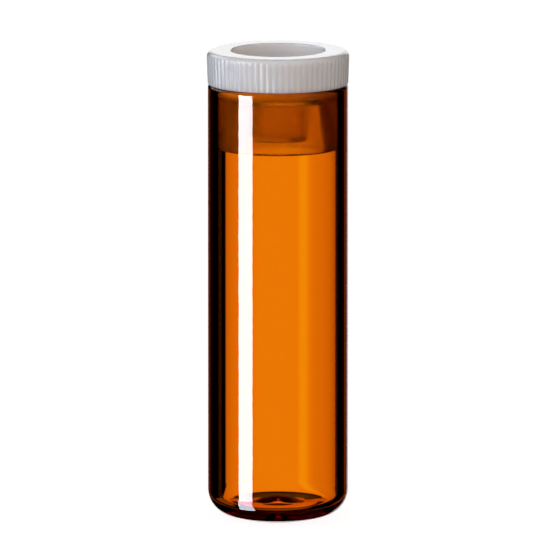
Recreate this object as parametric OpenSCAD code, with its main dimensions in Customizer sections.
// Amber glass shell vial with a push-in polyethylene stopper. Millimetres, +Z up.
// The origin is on the vial's axis, in the plane that it stands on.

/* [Glass body] */
// Outside diameter of the glass tube
glass_d = 14.65; // [13.2:0.05:17.6]
// Height of the glass, from the plane it stands on to its mouth
glass_h = 45.7; // [30:0.1:60]
// Thickness of the side wall
wall_t = 1.05; // [0.8:0.05:1.3]
// Radius of the arc that fire polishing leaves on both edges of the mouth
mouth_edge_r = 0.35; // [0.1:0.05:0.38]

/* [Glass bottom] */
// Radius of the heel, where the side turns under
heel_r = 2.8; // [2:0.1:3.4]
// How far in from the side the flat ring that the vial stands on begins
heel_w = 3.1; // [2.9:0.1:3.5]
// Slope of the bottom between the flat ring and the heel, in degrees
heel_slope = 16; // [10:1:22]
// Width of the flat ring that the vial stands on
foot_w = 1.35; // [0.8:0.05:1.6]
// Rise of the punt, the hollow under the floor
punt_h = 1.2; // [0.6:0.05:1.4]
// Radius of the punt's rounded top
punt_top_r = 0.8; // [0.4:0.1:1.6]
// Height of the flat part of the floor inside, above the plane that the vial stands on
floor_z = 1.6; // [1.5:0.05:2.2]
// Radius of the floor's raised middle, which the punt pushes up
raised_r = 2.9; // [2.6:0.1:3.6]
// Rise of the floor's raised middle
raised_h = 0.7; // [0.5:0.05:0.9]
// Radius of the arc that the raised middle's top follows
raised_top_r = 4.6; // [3:0.1:6]
// Radius of the corner between the wall and the floor, inside
corner_r = 1.2; // [0.6:0.1:2.2]

/* [Stopper collar] */
// Height of the collar above the mouth of the glass
collar_h = 3.55; // [2.5:0.05:6]
// How much wider in diameter the collar is than the glass, below its shoulder
collar_over = 0.25; // [0:0.05:1]
// Radius of the shoulder, between the collar's side and its top
shoulder_r = 0.65; // [0.3:0.05:0.8]
// Radius of the edge around the collar's underside
collar_edge_r = 0.15; // [0.05:0.05:0.3]
// Number of grip grooves around the collar
groove_count = 72; // [36:4:80]
// Depth of each grip groove
groove_depth = 0.12; // [0.05:0.01:0.2]
// Radius of the round tool that a grip groove follows
groove_tool_r = 0.25; // [0.2:0.01:0.27]

/* [Stopper skirt] */
// Length of the skirt below the mouth of the glass
skirt_l = 6.7; // [5.5:0.1:12]
// Clearance on the radius between the skirt and the bore of the glass
skirt_gap = 0.03; // [0.01:0.01:0.1]
// Wall of the skirt at its lower end
skirt_end_t = 1.4; // [0.8:0.05:1.7]
// Draft of the skirt's inner face: how much thicker its wall is at the web
skirt_draft = 0.6; // [0.1:0.05:0.7]
// Radius of the lead-in around the skirt's lower end
lead_in_r = 0.4; // [0.1:0.05:0.5]

/* [Stopper well] */
// Thickness of the moulded rim around the well, at the top, measured in from the glass diameter
rim_t = 2.45; // [2:0.05:2.6]
// Draft of the well: how much narrower in radius it is at the web
well_draft = 0.15; // [0.05:0.05:0.2]
// Radius of the edge around the well's mouth
well_edge_r = 0.2; // [0.05:0.05:0.4]
// Depth of the web's lower face below the mouth of the glass
web_z = 1.65; // [1:0.05:2.5]
// Thickness of the web between the skirt and the cup
web_t = 0.5; // [0.4:0.05:0.8]

/* [Stopper cup] */
// Outside diameter of the cup where it leaves the web
cup_d = 6.8; // [5.6:0.05:8.2]
// Draft of the cup: how much narrower in radius it is at its lower end
cup_draft = 0.3; // [0.1:0.05:0.4]
// Length of the cup below the mouth of the glass
cup_l = 5.6; // [4:0.1:6.2]
// Wall and floor thickness of the cup
cup_t = 0.5; // [0.35:0.05:0.8]
// Radius of the edge around the cup's lower end
cup_edge_r = 0.35; // [0.1:0.05:0.5]

/* [Hidden] */
$fn = 96;

glass_r = glass_d / 2;
bore_r = glass_r - wall_t;
// Outer and inner radius of the flat ring that the vial stands on
foot_out_r = glass_r - heel_w;
foot_in_r = foot_out_r - foot_w;
// Centre of the heel's arc, which touches both the side and the slope
heel_x = glass_r - heel_r;
heel_z = (heel_x - foot_out_r) * tan(heel_slope) + heel_r / cos(heel_slope);
// Where the slope turns into the heel's arc
slope_end_x = heel_x + heel_r * sin(heel_slope);
slope_end_z = heel_z - heel_r * cos(heel_slope);

collar_r = glass_r + collar_over / 2;
collar_top_z = glass_h + collar_h;
// Lean of the collar's side, which the grip grooves follow
collar_side_h = collar_h - shoulder_r - collar_edge_r;
collar_lean = atan((collar_r - glass_r) / collar_side_h);

skirt_r = bore_r - skirt_gap;
skirt_end_in_r = skirt_r - skirt_end_t;
skirt_web_in_r = skirt_end_in_r - skirt_draft;
web_top_z = glass_h - web_z + web_t;
well_r = glass_r - rim_t;
well_foot_r = well_r - well_draft;
cup_r = cup_d / 2;
cup_end_r = cup_r - cup_draft;
cup_end_z = glass_h - cup_l;

// How far a cutting shape runs past the face that it cuts through
past = 1;

// Takes the corner at the origin off a section that lies towards -X and -Y, leaving an arc of radius r
module corner_off(r) {
    difference() {
        translate([-r, -r]) square(r + past);
        translate([-r, -r]) circle(r);
    }
}

// Half section of a low dome of radius edge: an arc of radius top_r rises to rise on the axis, and a
// second arc, whose centre is above (edge, 0), turns it into the level. The two share a tangent.
module low_dome(edge, top_r, rise) {
    foot_r = (edge * edge + rise * rise) / (2 * rise) - top_r;
    meet_x = edge * top_r / (top_r + foot_r);
    intersection() {
        translate([0, rise - top_r]) circle(top_r);
        translate([0, -past]) square([meet_x, rise + 2 * past]);
    }
    difference() {
        translate([meet_x, -past]) square([edge - meet_x, past + rise]);
        translate([edge, foot_r]) circle(foot_r);
    }
}

// Half section of the outside of the glass, as if it were solid
module glass_outside() {
    difference() {
        union() {
            polygon([
                [0, 0],
                [foot_out_r, 0],
                [slope_end_x, slope_end_z],
                [heel_x, heel_z],
                [glass_r, heel_z],
                [glass_r, glass_h],
                [0, glass_h],
            ]);
            translate([heel_x, heel_z]) circle(heel_r);
        }
        translate([glass_r, glass_h]) corner_off(mouth_edge_r);
        low_dome(foot_in_r, punt_top_r, punt_h);
    }
}

// Half section of the space inside the glass
module glass_inside() {
    difference() {
        translate([0, floor_z]) square([bore_r, glass_h]);
        translate([bore_r, floor_z]) mirror([0, 1]) corner_off(corner_r);
        translate([0, floor_z]) low_dome(raised_r, raised_top_r, raised_h);
    }
}

// What fire polishing takes off the inner edge of the mouth
module mouth_inner_edge() {
    translate([bore_r, glass_h]) mirror([1, 0]) corner_off(mouth_edge_r);
}

module glass_vial() {
    color([0.76, 0.36, 0.05])
    rotate_extrude()
    difference() {
        glass_outside();
        glass_inside();
        mouth_inner_edge();
    }
}

// Half section of the collar: a short straight foot, a side that leans out, and a round shoulder
module collar_section() {
    translate([0, glass_h])
    difference() {
        polygon([
            [0, 0],
            [glass_r, 0],
            [glass_r, collar_edge_r],
            [collar_r, collar_h - shoulder_r],
            [collar_r, collar_h],
            [0, collar_h],
        ]);
        translate([collar_r, collar_h]) corner_off(shoulder_r);
        translate([glass_r, 0]) mirror([0, 1]) corner_off(collar_edge_r);
    }
}

// Half section of the skirt, as if it were solid
module skirt_section() {
    translate([0, glass_h - skirt_l])
    difference() {
        square([skirt_r, skirt_l + collar_edge_r]);
        translate([skirt_r, 0]) mirror([0, 1]) corner_off(lead_in_r);
    }
}

// Half section of the space in the top: the wide well, and the inside of the cup below it
module well_section() {
    polygon([
        [0, cup_end_z + cup_t],
        [cup_end_r - cup_t, cup_end_z + cup_t],
        [cup_r - cup_t, web_top_z],
        [well_foot_r, web_top_z],
        [well_r, collar_top_z],
        [well_r, collar_top_z + past],
        [0, collar_top_z + past],
    ]);
    translate([well_r, collar_top_z]) mirror([1, 0]) corner_off(well_edge_r);
}

// Half section of the space below the web, around the cup and under it
module underside_section() {
    difference() {
        polygon([
            [0, glass_h - skirt_l - past],
            [skirt_end_in_r, glass_h - skirt_l - past],
            [skirt_end_in_r, glass_h - skirt_l],
            [skirt_web_in_r, glass_h - web_z],
            [0, glass_h - web_z],
        ]);
        cup_section();
    }
}

// Half section of the cup, as if it were solid
module cup_section() {
    difference() {
        polygon([
            [0, cup_end_z],
            [cup_end_r, cup_end_z],
            [cup_end_r, cup_end_z + cup_edge_r],
            [cup_r, glass_h - web_z],
            [cup_r, glass_h],
            [0, glass_h],
        ]);
        translate([cup_end_r, cup_end_z]) mirror([0, 1]) corner_off(cup_edge_r);
    }
}

// Tool paths of the grip grooves: round, leaning with the collar's side, and fading out in the shoulder
module grip_grooves() {
    for (i = [0 : groove_count - 1])
        rotate(i * 360 / groove_count)
        translate([glass_r - groove_depth + groove_tool_r, 0, glass_h])
        rotate([0, collar_lean, 0])
        translate([0, 0, -past])
        cylinder(r = groove_tool_r, h = collar_h + 2 * past);
}

module stopper() {
    color([0.93, 0.93, 0.92])
    difference() {
        rotate_extrude()
        difference() {
            union() {
                collar_section();
                skirt_section();
            }
            well_section();
            underside_section();
        }
        grip_grooves();
    }
}

glass_vial();
stopper();
